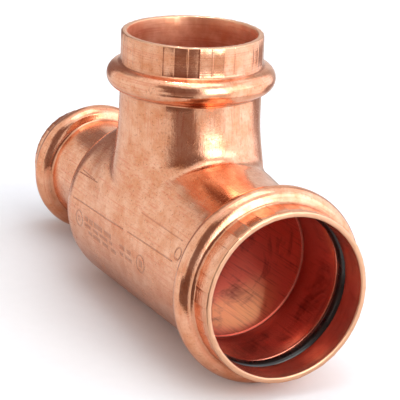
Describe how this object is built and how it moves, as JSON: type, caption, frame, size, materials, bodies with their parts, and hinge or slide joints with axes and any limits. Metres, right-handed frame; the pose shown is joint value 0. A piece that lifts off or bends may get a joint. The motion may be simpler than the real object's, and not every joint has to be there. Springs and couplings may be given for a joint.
{
  "type": "reducing press tee",
  "caption": "Copper press tee with a large run socket, a reduced run socket behind a rounded shoulder and a side branch, each with a rolled bead that holds a rubber seal.",
  "frame": {"origin": "where the centre lines of the run and of the branch cross, inside the waterway", "axes": "+X along the run, out of the large socket; +Z along the branch, out of its socket; +Y completes a right-handed frame"},
  "size_m": [0.1082, 0.044, 0.0678],
  "materials": {
    "copper": "bright formed copper with a soft satin",
    "epdm": "moulded, lightly lubricated"
  },
  "bodies": {
    "root": {"tee_body": "copper", "run_large_oring": "epdm", "run_small_oring": "epdm", "branch_oring": "epdm"}
  },
  "joints": []
}
